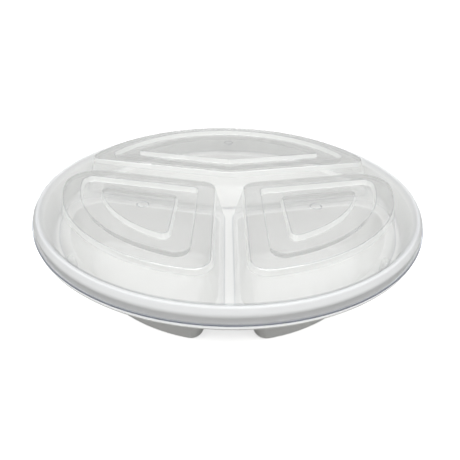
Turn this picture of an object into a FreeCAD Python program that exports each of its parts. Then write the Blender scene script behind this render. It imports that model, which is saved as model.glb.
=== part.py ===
import FreeCAD, Part
import math
import os
import Sketcher
from FreeCAD import Vector

# Round food container with three compartments: a white moulded tray and a clear lid
# with one raised dome over each compartment. Millimetres, +Z up, the origin at the
# centre of the plane the tray rests on, the pair of compartments at the front (-Y).

doc = FreeCAD.newDocument("compartment_container")

# ---------------------------------------------------------------- driving dimensions
DIMS = [
    ("tray_wall", 0.8, "tray sheet thickness"),
    ("lid_wall", 0.5, "lid sheet thickness"),
    ("web_level", 29.5, "top of the lid's web between the domes"),
    ("deck_level", 28.7, "top of the tray's dividers and ledge"),
    ("vee_angle", 12.8, "angle of each half of the rear divider, degrees"),
    # rim sections: two slanted sides that would meet in a peak, rounded at the crest
    ("rim_radius", 114.3, "outer radius at the foot of the lid's skirt"),
    ("skirt_level", 38.5, "foot of the lid's skirt"),
    ("plug_foot", 104.8, "radius of the lid's inner wall at the web"),
    ("plug_head", 107.2, "radius of the lid's inner wall at its top"),
    ("plug_level", 42.4, "top of the lid's inner wall"),
    ("peak_radius", 112.2, "lid rim's peak radius before rounding"),
    ("peak_level", 49.86, "lid rim's peak height before rounding"),
    ("crest_round", 2.6, "rounding of the lid's crest"),
    ("lip_radius", 112.9, "outer radius of the tray's lip"),
    ("lip_level", 36.5, "foot of the tray's lip"),
    ("tray_peak_radius", 112.35, "tray rim's peak radius before rounding"),
    ("tray_peak_level", 48.65, "tray rim's peak height before rounding"),
    ("tray_crest_round", 1.8, "rounding of the tray's crest"),
    ("under_gap", 0.8, "lid's face to tray's face under it"),
    # lid domes: outlines at the crown, at the groove and at the panel inside it
    ("crown_level", 52.2, "top of the domes"),
    ("groove_level", 49.1, "floor of the groove in each dome"),
    ("panel_level", 51.9, "top of the panel inside the groove"),
    ("flare", 5.6, "spread of a dome's wall from crown to web"),
    ("crown_side", 8.1, "crown edge from the middle plane"),
    ("crown_back", 12.9, "front dome's crown edge from the origin"),
    ("crown_front", 3.7, "rear dome's crown edge from the origin"),
    ("crown_arc", 96.6, "crown edge radius"),
    ("crown_edge", 1.2, "rounding of the crown edge"),
    ("apex_round", 14.0, "plan rounding of the rear dome's front point"),
    ("inner_round", 9.0, "plan rounding of a front dome's inner corner"),
    ("front_round", 8.0, "plan rounding of a front dome's front corner"),
    ("outer_round", 15.0, "plan rounding of a front dome's outer corner"),
    ("tip_round", 8.0, "plan rounding of the rear dome's tips"),
    ("groove_inset", 9.6, "crown edge to groove edge"),
    ("groove_width", 11.6, "groove edge to panel edge"),
    ("groove_slope", 0.9, "spread of the groove's walls over their height"),
    ("groove_round", 5.0, "plan rounding of the groove's corners"),
    ("panel_round", 3.0, "plan rounding of the panel's corners"),
    # tray compartments: outlines at the deck and at the floor
    ("rest_level", 0.0, "underside of the compartments' floors"),
    ("floor_level", 0.8, "inside floor of the compartments"),
    ("pocket_side", 5.5, "opening edge from the middle plane"),
    ("pocket_back", 10.9, "front opening edge from the origin"),
    ("pocket_front", 1.9, "rear opening edge from the origin"),
    ("pocket_arc", 96.5, "opening edge radius"),
    ("pocket_draft", 9.0, "lean of a compartment's wall from deck to floor"),
    ("pocket_round", 10.0, "rounding of a compartment's inner corners"),
    ("pocket_outer_round", 15.0, "rounding of its outer corners"),
    ("pocket_apex_round", 20.0, "rounding of the rear compartment's front point"),
    ("pocket_edge", 1.0, "rounding of the opening's edge"),
    ("floor_round", 5.0, "rounding of a compartment's floor edge"),
    # small marks of the lid
    ("rib_level", 36.0, "top of the small ribs across the lid's gutter"),
    ("rib_width", 5.0, "width of those ribs"),
    ("mark_radius", 3.3, "radius of the moulding mark on each panel"),
    ("mark_depth", 0.25, "height of that mark"),
    ("mark_reach", 60.3, "moulding mark's distance from the origin"),
]
dims = doc.addObject("Spreadsheet::Sheet", "dims")
for row, (name, value, meaning) in enumerate(DIMS, start=1):
    dims.set("A%d" % row, name)
    dims.set("B%d" % row, repr(value))
    dims.set("C%d" % row, meaning)
    dims.setAlias("B%d" % row, name)
doc.recompute()
D = {name: value for name, value, meaning in DIMS}

# Corner offsets across the sheet, in sheet thicknesses, where two slanted walls meet.
MITRES = {
    "foot_out": 0.82,
    "head_out": 0.94,
    "head_down": 0.39,
    "peak_in": 0.45,
    "peak_down": 2.2,
    "tray_peak_in": 0.86,
    "tray_peak_down": 3.08,
    "dome_in": 0.8,
    "pocket_in": 0.25,
    "sunk": 0.4,
    "half": 0.5,
    "double": 2.0,
    "rib_share": 0.73,
}
TOUCH = 0.02
LEAST_CHANGE = 10.0


def split_terms(terms):
    """Turns 'rim_radius -double*lid_wall' into [(1, 'rim_radius'), (-2, 'lid_wall')]."""
    parts = []
    for token in terms.split():
        sign = -1.0 if token.startswith("-") else 1.0
        token = token.lstrip("-")
        if "*" in token:
            factor, token = token.split("*")
            sign *= MITRES[factor]
        parts.append((sign, token))
    return parts


def total(terms):
    return sum(factor * D[name] for factor, name in split_terms(terms))


def formula(terms):
    return " + ".join("%g * dims.%s" % part for part in split_terms(terms))


# ---------------------------------------------------------------- document helpers
def new_body(label):
    body = doc.addObject("PartDesign::Body", label)
    body.Label = label
    body.Placement = FreeCAD.Placement()
    return body


def new_sketch(body, name, role, level=None):
    plane = [item for item in body.Origin.OriginFeatures if item.Role == role][0]
    sketch = body.newObject("Sketcher::SketchObject", name)
    sketch.AttachmentSupport = [(plane, "")]
    sketch.MapMode = "FlatFace"
    if level is not None:
        sketch.setExpression("AttachmentOffset.Base.z", formula(level))
    return sketch


def bind(sketch, name, constraint, terms):
    index = sketch.addConstraint(constraint)
    sketch.renameConstraint(index, name)
    sketch.setExpression("Constraints." + name, formula(terms))


def direction(angle):
    return Vector(math.cos(angle), math.sin(angle), 0)


def region_sketch(body, name, level, kind, reach, arc):
    """Outline of one compartment's third of the container at a level.

    Two straight sides at the distances in reach from the origin, and an arc about it.
    """
    vee = D["vee_angle"]
    side, back = reach
    if kind == "rear":
        sides = [(90 - vee, back, "-dims.vee_angle"), (90 + vee, back, "dims.vee_angle")]
    elif kind == "left":
        sides = [(180, side, None), (270 - vee, back, "180 - dims.vee_angle")]
    else:
        sides = [(270 + vee, back, "dims.vee_angle - 180"), (360, side, None)]
    sketch = new_sketch(body, name, "XY_Plane", level)
    n1, n2 = [direction(math.radians(item[0])) for item in sides]
    d1, d2 = Vector(n1.y, -n1.x, 0), Vector(n2.y, -n2.x, 0)
    c1, c2, big = total(sides[0][1]), total(sides[1][1]), total(arc)
    det = n1.x * n2.y - n1.y * n2.x
    meet = Vector((c1 * n2.y - c2 * n1.y) / det, (n1.x * c2 - n2.x * c1) / det, 0)
    first = n1 * c1 - d1 * math.sqrt(big ** 2 - c1 ** 2)
    last = n2 * c2 + d2 * math.sqrt(big ** 2 - c2 ** 2)
    start, end = math.atan2(last.y, last.x), math.atan2(first.y, first.x)
    while end < start:
        end += 2 * math.pi
    circle = Part.Circle(Vector(0, 0, 0), Vector(0, 0, 1), big)
    sketch.addGeometry([
        Part.LineSegment(first, meet),
        Part.LineSegment(meet, last),
        Part.ArcOfCircle(circle, start, end),
    ], False)
    for i in range(3):
        sketch.addConstraint(Sketcher.Constraint("Coincident", i, 2, (i + 1) % 3, 1))
    sketch.addConstraint(Sketcher.Constraint("Coincident", 2, 3, -1, 1))
    bind(sketch, "arc", Sketcher.Constraint("Radius", 2, big), arc)
    for line, heads, (angle, terms, tilt) in ((0, d1, sides[0]), (1, d2, sides[1])):
        if tilt is None:
            sketch.addConstraint(Sketcher.Constraint("Vertical", line))
        else:
            value = math.atan2(heads.y, heads.x)
            index = sketch.addConstraint(Sketcher.Constraint("Angle", line, value))
            sketch.renameConstraint(index, "tilt%d" % line)
            sketch.setExpression("Constraints.tilt%d" % line, tilt)
        if total(terms) < 0:
            terms = flipped(terms)
        bind(sketch, "reach%d" % line,
             Sketcher.Constraint("Distance", -1, 1, line, total(terms)), terms)
    return sketch


def flipped(terms):
    tokens = []
    for token in terms.split():
        tokens.append(token[1:] if token.startswith("-") else "-" + token)
    return " ".join(tokens)


def edges_where(shape, test):
    names = []
    for i, edge in enumerate(shape.Edges, start=1):
        first, last = edge.ParameterRange
        points = [edge.valueAt(first + (last - first) * k / 4.0) for k in range(5)]
        if all(test(math.hypot(p.x, p.y), p.z) for p in points):
            names.append("Edge%d" % i)
    return names


def near(value, target):
    return abs(value - target) < TOUCH


def fillet(body, name, radius, names):
    base = body.Tip
    feature = body.newObject("PartDesign::Fillet", name)
    feature.Base = (base, names)
    feature.setExpression("Radius", formula(radius))
    doc.recompute()
    if feature.Shape.isNull() or not feature.Shape.isValid():
        raise RuntimeError(name + " is not a valid rounding")
    return feature


def round_corners(body, name, kind, rounds):
    for place, (corner, terms) in enumerate(zip(("inner", "first", "second"), rounds)):
        edge = corner_edge(body.Tip.Shape, kind, place)
        fillet(body, "%s_%s_corner" % (name, corner), terms, [edge])


def lean_sides(body, name, level, depth, lean):
    base = body.Tip
    sides, neutral = [], None
    for i, face in enumerate(base.Shape.Faces, start=1):
        if not near(face.BoundBox.ZMin, face.BoundBox.ZMax):
            sides.append("Face%d" % i)
        elif near(face.BoundBox.ZMax, total(level)):
            neutral = "Face%d" % i
    spread = total(lean)
    draft = body.newObject("PartDesign::Draft", name + "_lean")
    draft.Base = (base, sides)
    draft.NeutralPlane = (base, [neutral])
    draft.Reversed = spread < 0
    slope = lean if spread > 0 else flipped(lean)
    draft.setExpression("Angle", "atan((%s) / (%s))" % (formula(slope), formula(depth)))
    doc.recompute()
    if (draft.Shape.Volume > base.Shape.Volume) != (spread > 0):
        raise RuntimeError(name + " leans the wrong way")


def block(name, kind, level, depth, outline, lean, rounds, rim=None, rim_round=None):
    """A body of one third's outline at a level, going down by depth with leaning sides.

    lean is how far the sides spread on the way down (a minus draws them in). rounds are
    the roundings of the upright edges: inner, then front and outer (left and right for
    the rear block). rim picks the level of the end edges rounded by rim_round; a block
    without one is shallow, and its corners are rounded before its sides lean.
    """
    body = new_body(name)
    sketch = region_sketch(body, name + "_outline", level, kind, *outline)
    pad = body.newObject("PartDesign::Pad", name + "_prism")
    pad.Profile = sketch
    pad.Reversed = True
    pad.setExpression("Length", formula(depth))
    sketch.Visibility = False
    doc.recompute()
    if rim is None:
        round_corners(body, name, kind, rounds)
        lean_sides(body, name, level, depth, lean)
        return body
    lean_sides(body, name, level, depth, lean)
    round_corners(body, name, kind, rounds)
    height = total(rim)
    fillet(body, name + "_edge", rim_round,
           edges_where(body.Tip.Shape, lambda r, z: near(z, height)))
    return body


def corner_edge(shape, kind, place):
    """The sharp upright edge at a place: 0 inner, 1 front (or left), 2 outer (or right)."""
    best, name = None, None
    for i, edge in enumerate(shape.Edges, start=1):
        ends = [vertex.Point for vertex in edge.Vertexes]
        if len(ends) != 2 or abs(ends[0].z - ends[1].z) < 0.5:
            continue
        middle = (ends[0] + ends[1]) * 0.5
        radius = math.hypot(middle.x, middle.y)
        along = middle.x if kind == "rear" else middle.y
        score = (radius, along, -along)[place]
        if place and radius < 50:
            continue
        if best is None or score < best:
            best, name = score, "Edge%d" % i
    return name


def combine(body, name, kind, tools):
    """Fuses the tool bodies to the body or cuts them out of it, and checks the volume."""
    before = body.Shape.Volume
    feature = body.newObject("PartDesign::Boolean", name)
    feature.Type = kind
    feature.addObjects(tools)
    body.Tip = feature
    doc.recompute()
    change = body.Shape.Volume - before
    if (change if kind == "Fuse" else -change) < LEAST_CHANGE:
        raise RuntimeError(name + " changed nothing")
    return feature


def rim_section(body, name, corners, crests):
    """A ring turned about Z from a closed section; crests are its rounded peaks."""
    sketch = new_sketch(body, name + "_section", "XZ_Plane")
    points = [Vector(total(x) if x else 0, total(y), 0) for x, y in corners]
    count = len(points)
    for i in range(count):
        sketch.addGeometry(Part.LineSegment(points[i], points[(i + 1) % count]), False)
    for i in range(count):
        sketch.addConstraint(Sketcher.Constraint("Coincident", i, 2, (i + 1) % count, 1))
    for i, (x, y) in enumerate(corners):
        if x:
            bind(sketch, "x%d" % i, Sketcher.Constraint("DistanceX", -1, 1, i, 1, total(x)), x)
        else:
            sketch.addConstraint(Sketcher.Constraint("PointOnObject", i, 1, -2))
        bind(sketch, "y%d" % i, Sketcher.Constraint("DistanceY", -1, 1, i, 1, total(y)), y)
    feature = body.newObject("PartDesign::Revolution", name)
    feature.Profile = sketch
    feature.ReferenceAxis = (sketch, ["V_Axis"])
    feature.Angle = 360
    sketch.Visibility = False
    doc.recompute()
    for label, corner, radius in crests:
        target = points[corner]
        names = edges_where(body.Tip.Shape, lambda r, z: near(r, target.x) and near(z, target.y))
        fillet(body, label, radius, names)


KINDS = ("left", "right", "rear")
SPOTS = {"left": -140.0, "right": -40.0, "rear": 90.0}


def dome_outline(kind, inset):
    """Sides and arc of a dome's crown drawn inwards by inset."""
    back = "crown_front" if kind == "rear" else "crown_back"
    return ["crown_side " + inset, back + " " + inset], "crown_arc " + flipped(inset)


def dome_rounds(kind, change=""):
    rounds = ["inner_round", "front_round", "outer_round"]
    if kind == "rear":
        rounds = ["apex_round", "tip_round", "tip_round"]
    return [part + " " + change for part in rounds]


def pocket_outline(kind, inset):
    back = "pocket_front" if kind == "rear" else "pocket_back"
    return ["pocket_side " + inset, back + " " + inset], "pocket_arc " + flipped(inset)


def pocket_rounds(kind, change=""):
    rounds = ["pocket_round", "pocket_round", "pocket_outer_round"]
    if kind == "rear":
        rounds = ["pocket_apex_round", "pocket_outer_round", "pocket_outer_round"]
    return [part + " " + change for part in rounds]


# ---------------------------------------------------------------- tray
tray = new_body("base_tray")
rim_section(tray, "tray_deck_and_rim", [
    (None, "deck_level"),
    ("plug_foot foot_out*under_gap", "deck_level"),
    ("plug_head head_out*under_gap", "plug_level -head_down*under_gap"),
    ("tray_peak_radius", "tray_peak_level"),
    ("lip_radius", "lip_level"),
    ("lip_radius -tray_wall", "lip_level"),
    ("tray_peak_radius -tray_peak_in*tray_wall", "tray_peak_level -tray_peak_down*tray_wall"),
    ("plug_head head_out*under_gap head_out*tray_wall",
     "plug_level -head_down*under_gap -head_down*tray_wall"),
    ("plug_foot foot_out*under_gap foot_out*tray_wall", "deck_level -tray_wall"),
    (None, "deck_level -tray_wall"),
], [
    ("tray_crest_inside", 6, "tray_crest_round -tray_wall"),
    ("tray_crest_outside", 3, "tray_crest_round"),
])
feet, spaces = [], []
for kind in KINDS:
    feet.append(block(
        kind + "_foot", kind, "deck_level", "deck_level", pocket_outline(kind, "-tray_wall"),
        "-pocket_draft -pocket_in*tray_wall", pocket_rounds(kind, "tray_wall"),
        "rest_level", "floor_round tray_wall"))
    spaces.append(block(
        kind + "_space", kind, "deck_level", "deck_level -floor_level",
        pocket_outline(kind, ""), "-pocket_draft", pocket_rounds(kind),
        "floor_level", "floor_round"))
combine(tray, "feet", "Fuse", feet)
combine(tray, "compartments", "Cut", spaces)
fillet(tray, "opening_edges", "pocket_edge", edges_where(
    tray.Tip.Shape, lambda r, z: near(z, D["deck_level"]) and r < D["pocket_arc"] + 1))

# ---------------------------------------------------------------- lid
lid = new_body("lid")
rim_section(lid, "lid_web_and_rim", [
    (None, "web_level"),
    ("plug_foot", "web_level"),
    ("plug_head", "plug_level"),
    ("peak_radius", "peak_level"),
    ("rim_radius", "skirt_level"),
    ("rim_radius -lid_wall", "skirt_level"),
    ("peak_radius -peak_in*lid_wall", "peak_level -peak_down*lid_wall"),
    ("plug_head head_out*lid_wall", "plug_level -head_down*lid_wall"),
    ("plug_foot foot_out*lid_wall", "web_level -lid_wall"),
    (None, "web_level -lid_wall"),
], [
    ("lid_crest_inside", 6, "crest_round -lid_wall"),
    ("lid_crest_outside", 3, "crest_round"),
])

for kind in KINDS:
    rib = new_sketch(lid, kind + "_rib_section", "XZ_Plane")
    rib.AttachmentOffset = FreeCAD.Placement(
        Vector(0, 0, 0), FreeCAD.Rotation(Vector(0, 1, 0), SPOTS[kind]))
    points = [("crown_arc flare -half*lid_wall", "web_level -half*lid_wall"),
              ("plug_foot half*lid_wall", "web_level -half*lid_wall"),
              ("plug_head -double*lid_wall", "rib_level"),
              ("crown_arc rib_share*flare -half*lid_wall", "rib_level")]
    places = [Vector(total(x), total(y), 0) for x, y in points]
    for i in range(4):
        rib.addGeometry(Part.LineSegment(places[i], places[(i + 1) % 4]), False)
    for i in range(4):
        rib.addConstraint(Sketcher.Constraint("Coincident", i, 2, (i + 1) % 4, 1))
        x, y = points[i]
        bind(rib, "x%d" % i, Sketcher.Constraint("DistanceX", -1, 1, i, 1, total(x)), x)
        bind(rib, "y%d" % i, Sketcher.Constraint("DistanceY", -1, 1, i, 1, total(y)), y)
    pad = lid.newObject("PartDesign::Pad", kind + "_rib")
    pad.Profile = rib
    pad.Midplane = True
    pad.setExpression("Length", formula("rib_width"))
    rib.Visibility = False
    doc.recompute()

domes, hollows = [], []
for kind in KINDS:
    domes.append(block(
        kind + "_dome", kind, "crown_level", "crown_level -web_level",
        dome_outline(kind, ""), "flare", dome_rounds(kind), "crown_level", "crown_edge"))
    hollows.append(block(
        kind + "_hollow", kind, "crown_level -lid_wall", "crown_level -web_level",
        dome_outline(kind, "dome_in*lid_wall"), "flare", dome_rounds(kind, "-lid_wall"),
        "crown_level -lid_wall", "crown_edge -lid_wall"))
combine(lid, "domes", "Fuse", domes)
combine(lid, "dome_hollows", "Cut", hollows)

GROOVE = "groove_inset"
PANEL = "groove_inset groove_width"
STEPS = [
    # name, type, upper level, depth, inset, lean on the way down, corner
    ("pans", "Fuse", "crown_level -lid_wall", "crown_level -groove_level",
     GROOVE + " -lid_wall", "-groove_slope", "groove_round lid_wall"),
    ("grooves", "Cut", "crown_level", "crown_level -groove_level",
     GROOVE, "-groove_slope", "groove_round"),
    ("panels", "Fuse", "panel_level", "panel_level -groove_level",
     PANEL, "groove_slope", "panel_round"),
    ("panel_hollows", "Cut", "panel_level -lid_wall", "panel_level -groove_level",
     PANEL + " lid_wall", "groove_slope", "panel_round -lid_wall"),
]
for name, action, upper, depth, inset, lean, corner in STEPS:
    tools = [block(kind + "_" + name, kind, upper, depth, dome_outline(kind, inset),
                   lean, [corner] * 3) for kind in KINDS]
    combine(lid, name, action, tools)

for kind in KINDS:
    mark = new_sketch(lid, kind + "_mark_outline", "XY_Plane", "panel_level -sunk*lid_wall")
    spot = direction(math.radians(SPOTS[kind])) * D["mark_reach"]
    mark.addGeometry(Part.Circle(spot, Vector(0, 0, 1), D["mark_radius"]), False)
    bind(mark, "size", Sketcher.Constraint("Radius", 0, D["mark_radius"]), "mark_radius")
    for axis, share in (("X", spot.x), ("Y", spot.y)):
        place = mark.addConstraint(Sketcher.Constraint("Distance" + axis, -1, 1, 0, 3, share))
        mark.renameConstraint(place, "place" + axis)
        mark.setExpression("Constraints.place" + axis,
                           "%g * dims.mark_reach" % (share / D["mark_reach"]))
    pad = lid.newObject("PartDesign::Pad", kind + "_mark")
    pad.Profile = mark
    pad.setExpression("Length", formula("mark_depth sunk*lid_wall"))
    mark.Visibility = False
    doc.recompute()

# ---------------------------------------------------------------- check and write
doc.recompute()
for item in doc.Objects:
    state = [word for word in item.State if word in ("Invalid", "Error")]
    if state:
        raise RuntimeError("%s: %s" % (item.Label, state))
os.makedirs("parts", exist_ok=True)
for body in (tray, lid):
    shape = body.Shape
    if shape.isNull() or not shape.isValid() or len(shape.Solids) != 1:
        raise RuntimeError("%s has no single valid solid" % body.Label)
    print(body.Label, "volume %.1f mm3" % shape.Volume, shape.BoundBox)
    shape.exportStep("parts/%s.step" % body.Label)
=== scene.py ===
"""Round food container: a white tray with three compartments and a clear lid with three domes.

Lengths are millimetres in the container's own frame, and MM turns them into metres. The frame's
origin is under the middle of the rim, on the plane that the feet stand on; the front is -Y.
"""
import math

import bmesh
import bpy
from mathutils import Matrix, Vector
from mathutils.geometry import delaunay_2d_cdt


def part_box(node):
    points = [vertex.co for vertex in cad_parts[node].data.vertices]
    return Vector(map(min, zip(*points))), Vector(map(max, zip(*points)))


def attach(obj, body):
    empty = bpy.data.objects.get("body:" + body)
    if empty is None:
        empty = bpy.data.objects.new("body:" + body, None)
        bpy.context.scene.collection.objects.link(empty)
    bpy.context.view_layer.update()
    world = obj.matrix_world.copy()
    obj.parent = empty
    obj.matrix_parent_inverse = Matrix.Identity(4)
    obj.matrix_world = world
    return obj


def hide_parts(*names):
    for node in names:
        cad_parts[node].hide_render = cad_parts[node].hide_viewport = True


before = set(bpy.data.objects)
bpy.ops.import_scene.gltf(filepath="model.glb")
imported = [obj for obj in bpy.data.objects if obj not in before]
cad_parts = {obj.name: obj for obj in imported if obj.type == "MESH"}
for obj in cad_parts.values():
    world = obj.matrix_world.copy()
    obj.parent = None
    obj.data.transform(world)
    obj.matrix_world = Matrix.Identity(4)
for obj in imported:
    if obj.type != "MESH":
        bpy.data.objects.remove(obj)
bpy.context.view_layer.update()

# ------------------------------------------------------------------ driving sizes
RIM = 114.3  # outer radius of the lid
LID_LOW, LID_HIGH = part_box("lid")
MM = (LID_HIGH[0] - LID_LOW[0]) / (2 * RIM)

# levels above the plane that the feet stand on
FLOOR, DECK = 0.8, 28.7  # of the tray: inside its compartments, and between them
WEB, GROOVE, PANEL, CROWN = 29.5, 49.1, 51.9, 52.2  # of the lid, from its web upwards
LID_WALL, TRAY_WALL = 0.5, 0.8

# the front compartments meet at X = 0, and the rear one's sides lean from X by this angle
REAR_LEAN = 12.8
# directions square to the two sides of each compartment, from its first to its second
NORMALS = {
    "left": (180.0, 270.0 - REAR_LEAN),
    "right": (270.0 + REAR_LEAN, 360.0),
    "rear": (90.0 - REAR_LEAN, 90.0 + REAR_LEAN),
}
# the line through the middle of each dome, where its mark and its gutter rib are
MIDLINES = {"left": -140.0, "right": -40.0, "rear": 90.0}
# how far the two sides of each outline are from the centre, and the radius of its outer arc:
# at the edge of a dome's crown, and at the opening of a compartment
DOME = {"left": (8.1, 12.9), "right": (12.9, 8.1), "rear": (3.7, 3.7)}
DOME_ARC = 96.6
POCKET = {"left": (5.5, 10.9), "right": (10.9, 5.5), "rear": (1.9, 1.9)}
POCKET_ARC = 96.5

# corner radii of those outlines: at the middle, after the second side, before the first side
DOME_ROUNDS = {"left": (9.0, 15.0, 8.0), "right": (9.0, 8.0, 15.0), "rear": (14.0, 8.0, 8.0)}
GROOVE_ROUNDS = {"left": (3.5, 5.0, 6.5), "right": (3.5, 6.5, 5.0), "rear": (6.0, 5.0, 5.0)}
POCKET_ROUNDS = {"left": (10.0, 15.0, 10.0), "right": (10.0, 10.0, 15.0),
                 "rear": (20.0, 15.0, 15.0)}

CORNER_STEPS, LINE_STEPS, ARC_STEPS, RING_STEPS = 12, 8, 64, 256
CREASE = math.radians(50)  # a sharper turn between two faces is shaded as an edge


# ------------------------------------------------------------------ outlines
def unit(angle):
    return Vector((math.cos(math.radians(angle)), math.sin(math.radians(angle))))


def swept(centre, radius, start, end, steps):
    """Points on an arc, turning left from the direction start to the direction end."""
    first = math.atan2(start.y, start.x)
    turn = (math.atan2(end.y, end.x) - first) % (2 * math.pi)
    return [centre + radius * Vector((math.cos(first + turn * k / steps),
                                      math.sin(first + turn * k / steps)))
            for k in range(steps + 1)]


def circle(radius, steps=RING_STEPS, centre=(0.0, 0.0)):
    return [Vector((centre[0] + radius * math.cos(2 * math.pi * k / steps),
                    centre[1] + radius * math.sin(2 * math.pi * k / steps)))
            for k in range(steps)]


def outline(kind, reaches, arc, rounds):
    """Closed outline of a third of the container: two straight sides and an outer arc.

    reaches are the sides' distances from the centre. rounds are the corner radii: where the
    sides meet, after the second side and before the first.
    """
    normal_1, normal_2 = (unit(angle) for angle in NORMALS[kind])
    along_1, along_2 = (Vector((n.y, -n.x)) for n in (normal_1, normal_2))
    reach_1, reach_2 = reaches
    round_meet, round_2, round_1 = rounds

    def by_the_arc(normal, along, reach, radius):
        """Centre of the rounding between a side and the outer arc."""
        off = reach + radius
        return normal * off + along * math.sqrt((arc - radius) ** 2 - off ** 2)

    off_1, off_2 = reach_1 + round_meet, reach_2 + round_meet
    det = normal_1.x * normal_2.y - normal_1.y * normal_2.x
    meet = Vector(((off_1 * normal_2.y - off_2 * normal_1.y) / det,
                   (normal_1.x * off_2 - normal_2.x * off_1) / det))
    last = by_the_arc(normal_2, along_2, reach_2, round_2)
    first = by_the_arc(normal_1, -along_1, reach_1, round_1)
    at_meet = swept(meet, round_meet, -normal_1, -normal_2, CORNER_STEPS)
    at_last = swept(last, round_2, -normal_2, last, CORNER_STEPS)
    at_first = swept(first, round_1, first, -normal_1, CORNER_STEPS)
    outer = swept(Vector((0, 0)), arc, last, first, ARC_STEPS)

    def between(a, b):
        return [a.lerp(b, k / LINE_STEPS) for k in range(1, LINE_STEPS)]

    return (at_meet + between(at_meet[-1], at_last[0]) + at_last + outer[1:-1]
            + at_first + between(at_first[-1], at_meet[0]))


def read(table, place):
    """Straight-line value from a table of (place, value), held at its ends."""
    if place <= table[0][0]:
        return table[0][1]
    for (a, value_a), (b, value_b) in zip(table, table[1:]):
        if place <= b:
            return value_a + (value_b - value_a) * (place - a) / (b - a)
    return table[-1][1]


def rounded(corners, steps=6):
    """A section through corners (x, z, radius, shade) with each one rounded by its radius.

    Gives (x, z, shade) points; shade is painted shade: how dark the clear sheet is drawn along
    that edge, for the dark line that refraction shows there.
    """
    points = [(corners[0][0], corners[0][1], corners[0][3])]
    for before, corner, after in zip(corners, corners[1:], corners[2:]):
        a, b, c = (Vector(item[:2]) for item in (before, corner, after))
        radius, shade = corner[2:]
        back, on = (a - b).normalized(), (c - b).normalized()
        half = back.angle(on) / 2
        centre = b + (back + on).normalized() * (radius / math.sin(half))
        start = b + back * radius / math.tan(half) - centre
        end = b + on * radius / math.tan(half) - centre
        turn = start.angle_signed(end)
        for k in range(steps + 1):
            spot = centre + Matrix.Rotation(-turn * k / steps, 2) @ start
            points.append((spot.x, spot.y, shade * math.sin(math.pi * k / steps)))
    points.append((corners[-1][0], corners[-1][1], corners[-1][3]))
    return points


# ------------------------------------------------------------------ mesh building
def ring_edges(rings):
    """Edges around each ring, numbered through all the rings."""
    start = 0
    for ring in rings:
        count = len(ring)
        for i in range(count):
            yield start + i, start + (i + 1) % count
        start += count


def sides_of(tri):
    return [frozenset((tri[i], tri[(i + 1) % 3])) for i in range(3)]


def area_of(flat, tri):
    """Twice the triangle's area, which is enough to compare by."""
    a, b, c = (flat[v] for v in tri)
    return abs((b - a).cross(c - a))


def inside(p, polygon):
    hit = False
    for a, b in zip(polygon, polygon[1:] + polygon[:1]):
        if (a.y > p.y) != (b.y > p.y) and p.x < a.x + (b.x - a.x) * (p.y - a.y) / (b.y - a.y):
            hit = not hit
    return hit


class Sheet:
    """Vertices and faces of one moulded sheet's upper side, in millimetres."""

    WHOLE_HULL, SAME_POINT = 0, 1e-5  # the triangulation's output type and tolerance

    def __init__(self):
        self.verts, self.faces, self.shades = [], [], []

    def loop(self, flat, z, shade=0.0):
        start = len(self.verts)
        self.verts += [(p[0], p[1], z) for p in flat]
        self.shades += [shade] * len(flat)
        return list(range(start, len(self.verts)))

    def spot(self, flat, z, shade):
        return self.loop([flat], z, shade)[0]

    def bridge(self, loops):
        """Quads from each loop to the next one, inwards along the sheet."""
        for a, b in zip(loops, loops[1:]):
            count = len(a)
            for i in range(count):
                j = (i + 1) % count
                self.faces.append((a[i], a[j], b[j], b[i]))

    def fill(self, outer, holes=()):
        """Flat triangles inside the loop outer and outside the loops in holes."""
        rings = [outer, *holes]
        index = [v for ring in rings for v in ring]
        flat = [Vector(self.verts[v][:2]) for v in index]
        edges = list(ring_edges(rings))
        _, _, tris, origin, _, _ = delaunay_2d_cdt(
            flat, edges, [], self.WHOLE_HULL, self.SAME_POINT)
        tris = [tuple(origin[v][0] for v in tri) for tri in tris]
        walls = {frozenset(edge) for edge in edges}
        beside = {}
        for k, tri in enumerate(tris):
            for side in sides_of(tri):
                beside.setdefault(side, []).append(k)
        areas = [[Vector(self.verts[v][:2]) for v in ring] for ring in rings]

        def in_domain(tri):
            middle = (flat[tri[0]] + flat[tri[1]] + flat[tri[2]]) / 3
            return inside(middle, areas[0]) and not any(inside(middle, a) for a in areas[1:])

        # from the largest triangle of the domain outwards, never across a loop
        seeds = [k for k, tri in enumerate(tris) if in_domain(tri)]
        reached = {max(seeds, key=lambda k: area_of(flat, tris[k]))}
        queue = list(reached)
        while queue:
            for side in sides_of(tris[queue.pop()]):
                if side not in walls:
                    fresh = [k for k in beside[side] if k not in reached]
                    reached.update(fresh)
                    queue += fresh
        self.faces += [tuple(index[v] for v in tris[k]) for k in sorted(reached)]


def linked(name, data):
    """A new object in the scene."""
    made = bpy.data.objects.new(name, data)
    bpy.context.scene.collection.objects.link(made)
    return made


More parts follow.
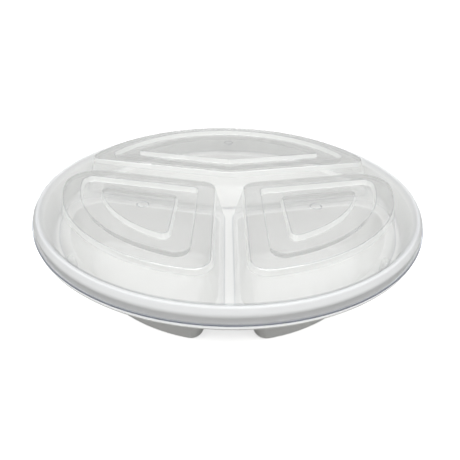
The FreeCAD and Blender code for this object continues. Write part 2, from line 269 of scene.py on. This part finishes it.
def build(name, sheet, wall):
    """The sheet given its thickness below, as an object with crisp normals."""
    mesh = bpy.data.meshes.new(name)
    mesh.from_pydata([tuple(MM * c for c in v) for v in sheet.verts], [], sheet.faces)
    # painted shade: how dark the clear sheet is drawn along its edges, read by the clear material
    mesh.attributes.new("edge", "FLOAT", "POINT").data.foreach_set("value", sheet.shades)
    work = bmesh.new()
    work.from_mesh(mesh)
    bmesh.ops.recalc_face_normals(work, faces=work.faces)
    top = max(work.faces, key=lambda f: f.calc_center_median().z)
    if top.normal.z < 0:
        bmesh.ops.reverse_faces(work, faces=work.faces)
    work.to_mesh(mesh)
    work.free()
    shell = linked(name + "_sheet", mesh)
    solid = shell.modifiers.new("thickness", "SOLIDIFY")
    solid.thickness, solid.offset = wall * MM, -1
    graph = bpy.context.evaluated_depsgraph_get()
    final = bpy.data.meshes.new_from_object(shell.evaluated_get(graph))
    final.name = name
    bpy.data.objects.remove(shell)
    final.polygons.foreach_set("use_smooth", [True] * len(final.polygons))
    final.set_sharp_from_angle(angle=CREASE)
    piece = linked(name, final)
    weights = piece.modifiers.new("flat_faces", "WEIGHTED_NORMAL")
    weights.keep_sharp = True
    return piece


# ------------------------------------------------------------------ lid
# section of the rim: skirt, over the crest, down the plug wall to the web
# painted shade: RIM_SHADE draws the whole roll of the rim greyer, and the last number of each
# corner below is a painted dark line along that edge, darkest at the end of the skirt
RIM_SHADE = 0.08
PLUG_TOP = 107.5  # the roll of the rim lies outside this radius
LID_SECTION = rounded([
    (114.25, 38.85, 0, 1.0), (114.1, 39.9, 1.0, 0.4), (114.0, 43.2, 3.0, RIM_SHADE),
    (110.3, 48.7, 1.7, 0.15), (107.2, 42.4, 1.2, 0.05), (104.8, WEB, 1.4, 0.05),
    (103.45, WEB, 0, 0)], steps=10)
# section of a dome, by the inset from the crown's edge: foot, crown, groove, panel
# the last number of each corner is painted shade: a dark line drawn along that edge of the clear
# sheet
DOME_SECTION = rounded([
    (-6.8, WEB, 0, 0), (-5.6, WEB, 0.7, 0.2), (0.0, CROWN, 1.1, 0.16), (9.6, CROWN, 0.45, 0.6),
    (10.5, GROOVE, 0.6, 0.0), (20.3, GROOVE, 0.6, 0.0), (21.2, PANEL, 0.45, 0.5),
    (22.6, PANEL, 0, 0)])
# section of the low moulding ring on a panel, by the radius
MARK_REACH, MARK_TOP, MARK_STEPS = 60.3, PANEL + 0.28, 40
# the last number of each corner is painted shade: a dark line drawn along that edge of the ring
MARK_SECTION = rounded([
    (3.9, PANEL, 0, 0), (3.6, PANEL, 0.12, 0.3), (3.3, MARK_TOP, 0.1, 0.6),
    (2.7, MARK_TOP, 0.1, 0.6), (2.4, PANEL, 0.12, 0.3), (2.0, PANEL, 0, 0)], steps=3)
# section of a gutter rib, by the distance from its middle; it spans two radii
# the rib's shade is painted shade: a faint dark line drawn along the rib's top edges
RIB_TOP, RIB_SHADE = 36.0, 0.06
RIB_OUTER, RIB_INNER = 106.2, 100.6
RIB_SECTION = rounded([(-3.0, WEB, 0, 0), (-2.5, RIB_TOP, 0.7, RIB_SHADE),
                       (2.5, RIB_TOP, 0.7, RIB_SHADE), (3.0, WEB, 0, 0)])


def dome_round(crown, groove, inset):
    """Corner radius of a dome's outline at an inset, from its foot to its panel."""
    return read([(-6.8, crown + 1.2), (-5.6, crown), (0.0, crown), (1.3, crown - 1.2),
                 (9.0, groove + 0.5), (10.8, groove - 1.2), (20.0, 3.4), (22.0, 2.4)], inset)


def dome_loops(sheet, kind):
    """One dome from its foot on the web to the panel; returns the first and last loops."""
    loops = []
    for inset, z, shade in DOME_SECTION:
        rounds = [dome_round(crown, groove, inset)
                  for crown, groove in zip(DOME_ROUNDS[kind], GROOVE_ROUNDS[kind])]
        reaches = [reach + inset for reach in DOME[kind]]
        loops.append(sheet.loop(outline(kind, reaches, DOME_ARC - inset, rounds), z, shade))
    sheet.bridge(loops)
    return loops[0], loops[-1]


def mark_on(sheet, kind, panel):
    """Flat panel top with the low moulding ring on it."""
    middle = unit(MIDLINES[kind]) * MARK_REACH
    rings = [sheet.loop(circle(r, MARK_STEPS, middle), z, shade) for r, z, shade in MARK_SECTION]
    sheet.bridge(rings)
    sheet.fill(panel, [rings[0]])
    sheet.fill(rings[-1])


def gutter_rib(sheet, angle):
    """A small rib across the gutter, from the plug wall to the foot of a dome."""
    out, along = unit(angle), unit(angle + 90)
    near, far = ([sheet.spot(out * reach + along * aside, z, shade)
                  for aside, z, shade in RIB_SECTION] for reach in (RIB_OUTER, RIB_INNER))
    sheet.faces += [(near[i], near[i + 1], far[i + 1], far[i]) for i in range(len(near) - 1)]


def lid_shell():
    sheet = Sheet()
    # each ring keeps its painted shade, and on the roll of the rim no less than the rim's painted
    # shade
    rings = [sheet.loop(circle(r), z, max(shade, RIM_SHADE if r > PLUG_TOP else 0.0))
             for r, z, shade in LID_SECTION]
    sheet.bridge(rings)
    feet = []
    for kind in NORMALS:
        foot, panel = dome_loops(sheet, kind)
        feet.append(foot)
        mark_on(sheet, kind, panel)
    sheet.fill(rings[-1], feet)
    for angle in MIDLINES.values():
        gutter_rib(sheet, angle)
    return build("lid_shell", sheet, LID_WALL)


# ------------------------------------------------------------------ tray
# section of the rim: lip, over the crest, down the inner wall to the deck
TRAY_SECTION = rounded([
    (113.9, 37.3, 0, 0), (112.3, 37.6, 0.3, 0), (113.2, 42.9, 2.4, 0), (110.2, 47.3, 1.3, 0),
    (107.95, 42.09, 1.3, 0), (105.46, DECK, 1.6, 0), (103.9, DECK, 0, 0)], steps=10)
# section of a compartment, by the inset from its opening: deck, edge, floor
POCKET_SECTION = rounded([
    (-1.0, DECK, 0, 0), (0.0, DECK, 1.0, 0), (9.0, FLOOR, 5.0, 0), (16.0, FLOOR, 0, 0)], steps=10)
# what the corner radii gain or lose with that inset, and the least that stays
POCKET_GAIN = [(-1.2, 1.0), (0.0, 0.0), (9.0, -5.6), (16.0, -7.5)]
LEAST_ROUND = 1.5


def pocket_loops(sheet, kind):
    """One compartment from the deck to its floor; returns the first and last loops."""
    loops = []
    for inset, z, _ in POCKET_SECTION:
        gain = read(POCKET_GAIN, inset)
        rounds = [max(r + gain, LEAST_ROUND) for r in POCKET_ROUNDS[kind]]
        reaches = [reach + inset for reach in POCKET[kind]]
        loops.append(sheet.loop(outline(kind, reaches, POCKET_ARC - inset, rounds), z))
    sheet.bridge(loops)
    return loops[0], loops[-1]


def tray_shell():
    sheet = Sheet()
    rings = [sheet.loop(circle(r), z) for r, z, _ in TRAY_SECTION]
    sheet.bridge(rings)
    openings = []
    for kind in NORMALS:
        opening, floor = pocket_loops(sheet, kind)
        openings.append(opening)
        sheet.fill(floor)
    sheet.fill(rings[-1], openings)
    return build("tray_shell", sheet, TRAY_WALL)


# ------------------------------------------------------------------ nodes
class Nodes:
    """Short calls that add nodes to one tree."""

    def __init__(self, tree):
        self.tree = tree

    def node(self, kind, **values):
        made = self.tree.nodes.new(kind)
        for name, value in values.items():
            setattr(made, name, value)
        return made

    def link(self, a, b):
        self.tree.links.new(a, b)

    def place(self, output="Object"):
        return self.node("ShaderNodeTexCoord").outputs[output]

    def height(self, vector):
        """The vector's Z."""
        made = self.node("ShaderNodeSeparateXYZ")
        self.link(vector, made.inputs[0])
        return made.outputs["Z"]

    def length(self, vector):
        made = self.node("ShaderNodeVectorMath", operation="LENGTH")
        self.link(vector, made.inputs[0])
        return made.outputs["Value"]

    def maths(self, operation, *values, clamp=False):
        """A Math node; each value is a number or an output of another node."""
        made = self.node("ShaderNodeMath", operation=operation, use_clamp=clamp)
        for value, socket in zip(values, made.inputs):
            if isinstance(value, float):
                socket.default_value = value
            else:
                self.link(value, socket)
        return made.outputs[0]

    def noise(self, scale, detail):
        made = self.node("ShaderNodeTexNoise")
        made.inputs["Scale"].default_value = scale
        made.inputs["Detail"].default_value = detail
        self.link(self.place(), made.inputs["Vector"])
        return made.outputs["Fac"]

    def span(self, source, low, high, start=0.0, end=1.0):
        """From low to high as the source goes from start to end, and held outside that."""
        made = self.node("ShaderNodeMapRange")
        made.inputs["From Min"].default_value = start
        made.inputs["From Max"].default_value = end
        made.inputs["To Min"].default_value = low
        made.inputs["To Max"].default_value = high
        self.link(source, made.inputs["Value"])
        return made.outputs["Result"]

    def blend_colour(self, factor, a, b):
        made = self.node("ShaderNodeMix", data_type="RGBA")
        made.inputs["A"].default_value = (*a, 1)
        made.inputs["B"].default_value = (*b, 1)
        self.link(factor, made.inputs["Factor"])
        return made.outputs["Result"]

    def bump(self, height, strength, distance):
        made = self.node("ShaderNodeBump")
        made.inputs["Strength"].default_value = strength
        made.inputs["Distance"].default_value = distance
        self.link(height, made.inputs["Height"])
        return made.outputs["Normal"]

    def mix(self, factor, a, b):
        made = self.node("ShaderNodeMixShader")
        for value, socket in zip((factor, a, b), made.inputs):
            self.link(value, socket)
        return made.outputs[0]

    def by_ray(self, bounced, direct):
        """The shader bounced for light on its way, and direct for what is looked at itself."""
        rays = self.node("ShaderNodeLightPath")
        return self.mix(rays.outputs["Is Camera Ray"], bounced, direct)


class Look(Nodes):
    """A new material, with its Principled shader and its output at hand."""

    def __init__(self, name):
        self.material = bpy.data.materials.new(name)
        self.material.use_nodes = True
        super().__init__(self.material.node_tree)
        self.shader = self.tree.nodes["Principled BSDF"]
        self.output = self.tree.nodes["Material Output"]


# ------------------------------------------------------------------ materials
# the scale of a noise is per metre, and the distance of a bump is in metres
WHITE_DARKER, WHITE_LIGHTER = (0.86, 0.86, 0.855), (0.88, 0.88, 0.875)
WHITE_ROUGHNESS, WHITE_IOR = (0.26, 0.32), 1.49
WHITE_DEPTH = 0.004  # how far light wanders in the white plastic, in metres
MOTTLING_SCALE, GRAIN_SCALE, RIPPLE_SCALE = 14.0, 900.0, 60.0

# the clear sheet: its veil's colour on the walls and the tops, where the tops' dark grey is
# painted shade, and what shows through it, clear and dark along edges as painted shade
VEIL_WALL, TOP_VEIL_PAINTED_SHADE = (0.90, 0.905, 0.895), (0.34, 0.34, 0.337)
THROUGH_CLEAR, THROUGH_EDGE = (0.99, 0.99, 0.99), (0.42, 0.44, 0.49)
# veil amounts: on the web, in the domes, less on the dome tops, and on the short steps of those
# tops, the last being a painted highlight in the light wall veil colour, with the veil's own
# gloss
WEB_HAZE, DOME_HAZE, TOP_HAZE_LOSS, STEP_PAINTED_HIGHLIGHT = 0.02, 0.18, 0.05, 0.32
# at a glance the glossy veil grows, and what shows through darkens as painted shade
GLANCE_HAZE, GLANCE_DARK = 0.12, 0.08
CLEAR_ROUGHNESS = (0.03, 0.08)
# more than the plastic's own, because the gloss shows only as strongly as the veil
CLEAR_IOR = 2.5
STEEP, FLAT = 0.6, 0.95  # the size of a normal's Z, up to a wall's and from a top's
# where the haze of the domes starts and ends, upwards from the web and outwards
HAZE_LEVELS, HAZE_RADII = (WEB + 0.3, WEB + 1.3), (103.0, 103.8)
# where a flat face counts as a dome's top, for its painted shade, and where a steep one counts as
# a top's step, for its painted highlight
TOP_LEVELS, STEP_LEVELS = (GROOVE - 5.1, GROOVE - 1.1), (GROOVE - 0.5, GROOVE + 0.3)


def white_plastic():
    """White moulded plastic, with a faint broad mottling and a fine grain in its gloss."""
    look = Look("white_plastic")
    shader = look.shader
    mottling = look.noise(MOTTLING_SCALE, 0.0)
    grain = look.noise(GRAIN_SCALE, 2.0)
    look.link(look.blend_colour(mottling, WHITE_DARKER, WHITE_LIGHTER),
              shader.inputs["Base Color"])
    look.link(look.span(mottling, *WHITE_ROUGHNESS), shader.inputs["Roughness"])
    look.link(look.bump(grain, strength=0.04, distance=0.0002), shader.inputs["Normal"])
    shader.inputs["IOR"].default_value = WHITE_IOR
    shader.inputs["Subsurface Weight"].default_value = 0.25
    shader.inputs["Subsurface Radius"].default_value = [WHITE_DEPTH] * 3
    shader.inputs["Subsurface Scale"].default_value = 1.0
    return look.material


def clear_plastic():
    """Clear formed sheet: a see-through shader under a veil of haze and gloss.

    The veil is thicker in the domes, painted dark grey on their flat tops as shade and light on
    the steps of those tops as a painted highlight; the see-through part has painted dark lines
    along edges and at a glance, as shade.
    """
    look = Look("clear_plastic")
    shader = look.shader
    shader.inputs["IOR"].default_value = CLEAR_IOR
    ripple = look.noise(RIPPLE_SCALE, 2.0)
    look.link(look.span(ripple, *CLEAR_ROUGHNESS), shader.inputs["Roughness"])
    look.link(look.bump(ripple, strength=0.06, distance=0.0006), shader.inputs["Normal"])
    # from 0 face on to 1 at a glance
    glance = look.maths("POWER", look.node("ShaderNodeLayerWeight").outputs["Facing"], 5.0)

    # where on the lid: in the domes, on their flat tops, which get painted shade, and on the
    # short steps of those tops, which get a painted highlight
    place = look.place()
    height = look.height(place)
    plan = look.node("ShaderNodeVectorMath", operation="MULTIPLY")
    plan.inputs[1].default_value = (1, 1, 0)
    look.link(place, plan.inputs[0])
    reach = look.length(plan.outputs[0])
    normal = look.node("ShaderNodeNewGeometry").outputs["Normal"]
    level = look.maths("ABSOLUTE", look.height(normal))

    def above(levels):
        """From 0 to 1 between two levels in millimetres."""
        return look.span(height, 0.0, 1.0, levels[0] * MM, levels[1] * MM)

    in_dome = look.maths("MULTIPLY", above(HAZE_LEVELS),
                         look.span(reach, 1.0, 0.0, HAZE_RADII[0] * MM, HAZE_RADII[1] * MM))
    on_top = look.maths("MULTIPLY", look.span(level, 0.0, 1.0, STEEP, FLAT), above(TOP_LEVELS))
    # painted highlight: more light veil on the steep steps of the dome tops
    step_painted_highlight = look.maths("MULTIPLY", look.span(level, STEP_PAINTED_HIGHLIGHT, 0.0, STEEP, FLAT),
                           above(STEP_LEVELS))

    # the drawn sheet of the domes is hazier than the web and the rim; on their flat tops the veil
    # is painted shade, a dark grey, and on the steps it is a painted highlight, light with the
    # veil's own gloss
    haze = look.maths("SUBTRACT", look.span(in_dome, WEB_HAZE, DOME_HAZE),
                      look.span(on_top, 0.0, TOP_HAZE_LOSS))
    veil = look.maths("ADD", look.maths("ADD", haze, step_painted_highlight),
                      look.span(glance, 0.0, GLANCE_HAZE), clamp=True)
    look.link(look.blend_colour(on_top, VEIL_WALL, TOP_VEIL_PAINTED_SHADE), shader.inputs["Base Color"])
    # painted shade: thin dark lines where the sheet turns over an edge, and a darkening at a
    # glance, both for the dark that refraction shows there
    edge = look.node("ShaderNodeAttribute", attribute_name="edge")
    dark = look.maths("ADD", edge.outputs["Fac"], look.span(glance, 0.0, GLANCE_DARK),
                      clamp=True)
    through = look.node("ShaderNodeBsdfTransparent")
    look.link(look.blend_colour(dark, THROUGH_CLEAR, THROUGH_EDGE), through.inputs["Color"])
    look.link(look.mix(veil, through.outputs[0], shader.outputs[0]),
              look.output.inputs["Surface"])
    return look.material


# the studio's whites, and how strongly the floor glows at two distances from the object, in
# metres: as it is looked at, and in what it throws up at the object
WHITE = (1, 1, 1, 1)
FLOOR_DARKER, FLOOR_LIGHTER = (0.95, 0.95, 0.95), (0.97, 0.97, 0.97)
TABLE_GREY = (0.15, 0.145, 0.135, 1)
SEEN_GLOW, SEEN_REACH = (0.6, 0.85), (0.3, 1.3)
THROWN_GLOW, THROWN_REACH = (0.0, 0.36), (0.4, 1.6)


def studio_white():
    """Floor that is white to look at, and a dark table in what it throws up at the object.

    Both glow more with the distance from the object, so the white runs on to the wall.
    """
    look = Look("studio_white")
    white, table = look.shader, look.node("ShaderNodeBsdfPrincipled")
    look.link(look.blend_colour(look.noise(0.5, 1.0), FLOOR_DARKER, FLOOR_LIGHTER),
              white.inputs["Base Color"])
    table.inputs["Base Color"].default_value = TABLE_GREY
    for shader in (white, table):
        shader.inputs["Roughness"].default_value = 0.9
        shader.inputs["Emission Color"].default_value = WHITE
    far = look.length(look.place())
    look.link(look.span(far, *SEEN_GLOW, *SEEN_REACH), white.inputs["Emission Strength"])
    look.link(look.span(far, *THROWN_GLOW, *THROWN_REACH), table.inputs["Emission Strength"])
    look.link(look.by_ray(table.outputs[0], white.outputs[0]), look.output.inputs["Surface"])
    return look.material


# ------------------------------------------------------------------ the container
lid = lid_shell()
tray = tray_shell()
tray.data.materials.append(white_plastic())
lid.data.materials.append(clear_plastic())
for piece, node, body, slot in ((tray, "base_tray", "tray", "tray"), (lid, "lid", "lid", "lid")):
    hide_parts(node)
    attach(piece, body)


# ------------------------------------------------------------------ studio, in metres
def studio_sweep():
    """A floor that curves up into a wall behind the object."""
    front, back, bend, wall_top, half_width = -3.0, 1.6, 1.0, 3.0, 4.0
    bend_steps = 10
    profile = [(front, 0.0), (back, 0.0)]
    for k in range(1, bend_steps + 1):
        turn = math.radians(90 / bend_steps * k)
        profile.append((back + bend * math.sin(turn), bend - bend * math.cos(turn)))
    profile.append((back + bend, wall_top))
    sweep = bmesh.new()
    rows = [[sweep.verts.new((x, y, z)) for x in (-half_width, half_width)] for y, z in profile]
    for (a, b), (c, d) in zip(rows, rows[1:]):
        sweep.faces.new((a, b, d, c))
    mesh = bpy.data.meshes.new("studio_sweep")
    sweep.to_mesh(mesh)
    sweep.free()
    mesh.polygons.foreach_set("use_smooth", [True] * len(mesh.polygons))
    mesh.materials.append(studio_white())
    return linked("studio_sweep", mesh)


def lamp(name, place, size, power):
    """A rectangular softbox that faces the origin."""
    data = bpy.data.lights.new(name, "AREA")
    data.shape = "RECTANGLE"
    data.size, data.size_y = size
    data.energy = power
    made = linked(name, data)
    made.location = place
    made.rotation_euler = (-Vector(place)).to_track_quat("-Z", "Y").to_euler()


def studio_room():
    """The room: bright overhead and dimmer towards the horizon, and white seen directly."""
    world = bpy.data.worlds.new("studio")
    world.use_nodes = True
    room = Nodes(world.node_tree)
    glow, white = room.tree.nodes["Background"], room.node("ShaderNodeBackground")
    horizon, overhead, full_height = 0.20, 1.39, 0.9
    glow.inputs["Color"].default_value = (0.99, 1.0, 0.992, 1)
    white.inputs["Color"].default_value = WHITE
    height = room.height(room.place("Generated"))
    room.link(room.span(height, horizon, overhead, 0.0, full_height), glow.inputs["Strength"])
    room.link(room.by_ray(glow.outputs[0], white.outputs[0]),
              room.tree.nodes["World Output"].inputs["Surface"])
    return world


studio_sweep()
lamp("top_softbox", (0.0, 0.0, 1.4), (2.2, 2.0), 2.0)
lamp("front_softbox", (0.0, -0.9, 1.2), (2.4, 0.3), 12.5)
scene = bpy.context.scene
scene.world = studio_room()
scene.view_settings.view_transform = "Standard"
# a look through both walls of two domes passes more than eight clear surfaces
scene.cycles.transparent_max_bounces = 40

# ------------------------------------------------------------------ camera
# the photograph's viewpoint, from the outlines of the rim and the domes
EYE = Vector((-3.19, -222.65, 150.20)) * MM
AIM = Vector((0.37, -45.11, 40.0)) * MM
ROLL = math.radians(1.25)
SENSOR, LENS = 36.0, 30.52  # millimetres inside the camera
NEAREST = 0.01  # metres


def photo_camera():
    ahead = (AIM - EYE).normalized()
    level = ahead.cross(Vector((0, 0, 1))).normalized()
    above = level.cross(ahead)
    right = level * math.cos(ROLL) + above * math.sin(ROLL)
    upward = above * math.cos(ROLL) - level * math.sin(ROLL)
    data = bpy.data.cameras.new("camera")
    data.sensor_width = SENSOR
    data.lens = LENS
    data.clip_start = NEAREST
    camera = linked("camera", data)
    turned = Matrix((right, upward, -ahead)).transposed().to_4x4()
    camera.matrix_world = Matrix.Translation(EYE) @ turned
    return camera


bpy.context.scene.camera = photo_camera()
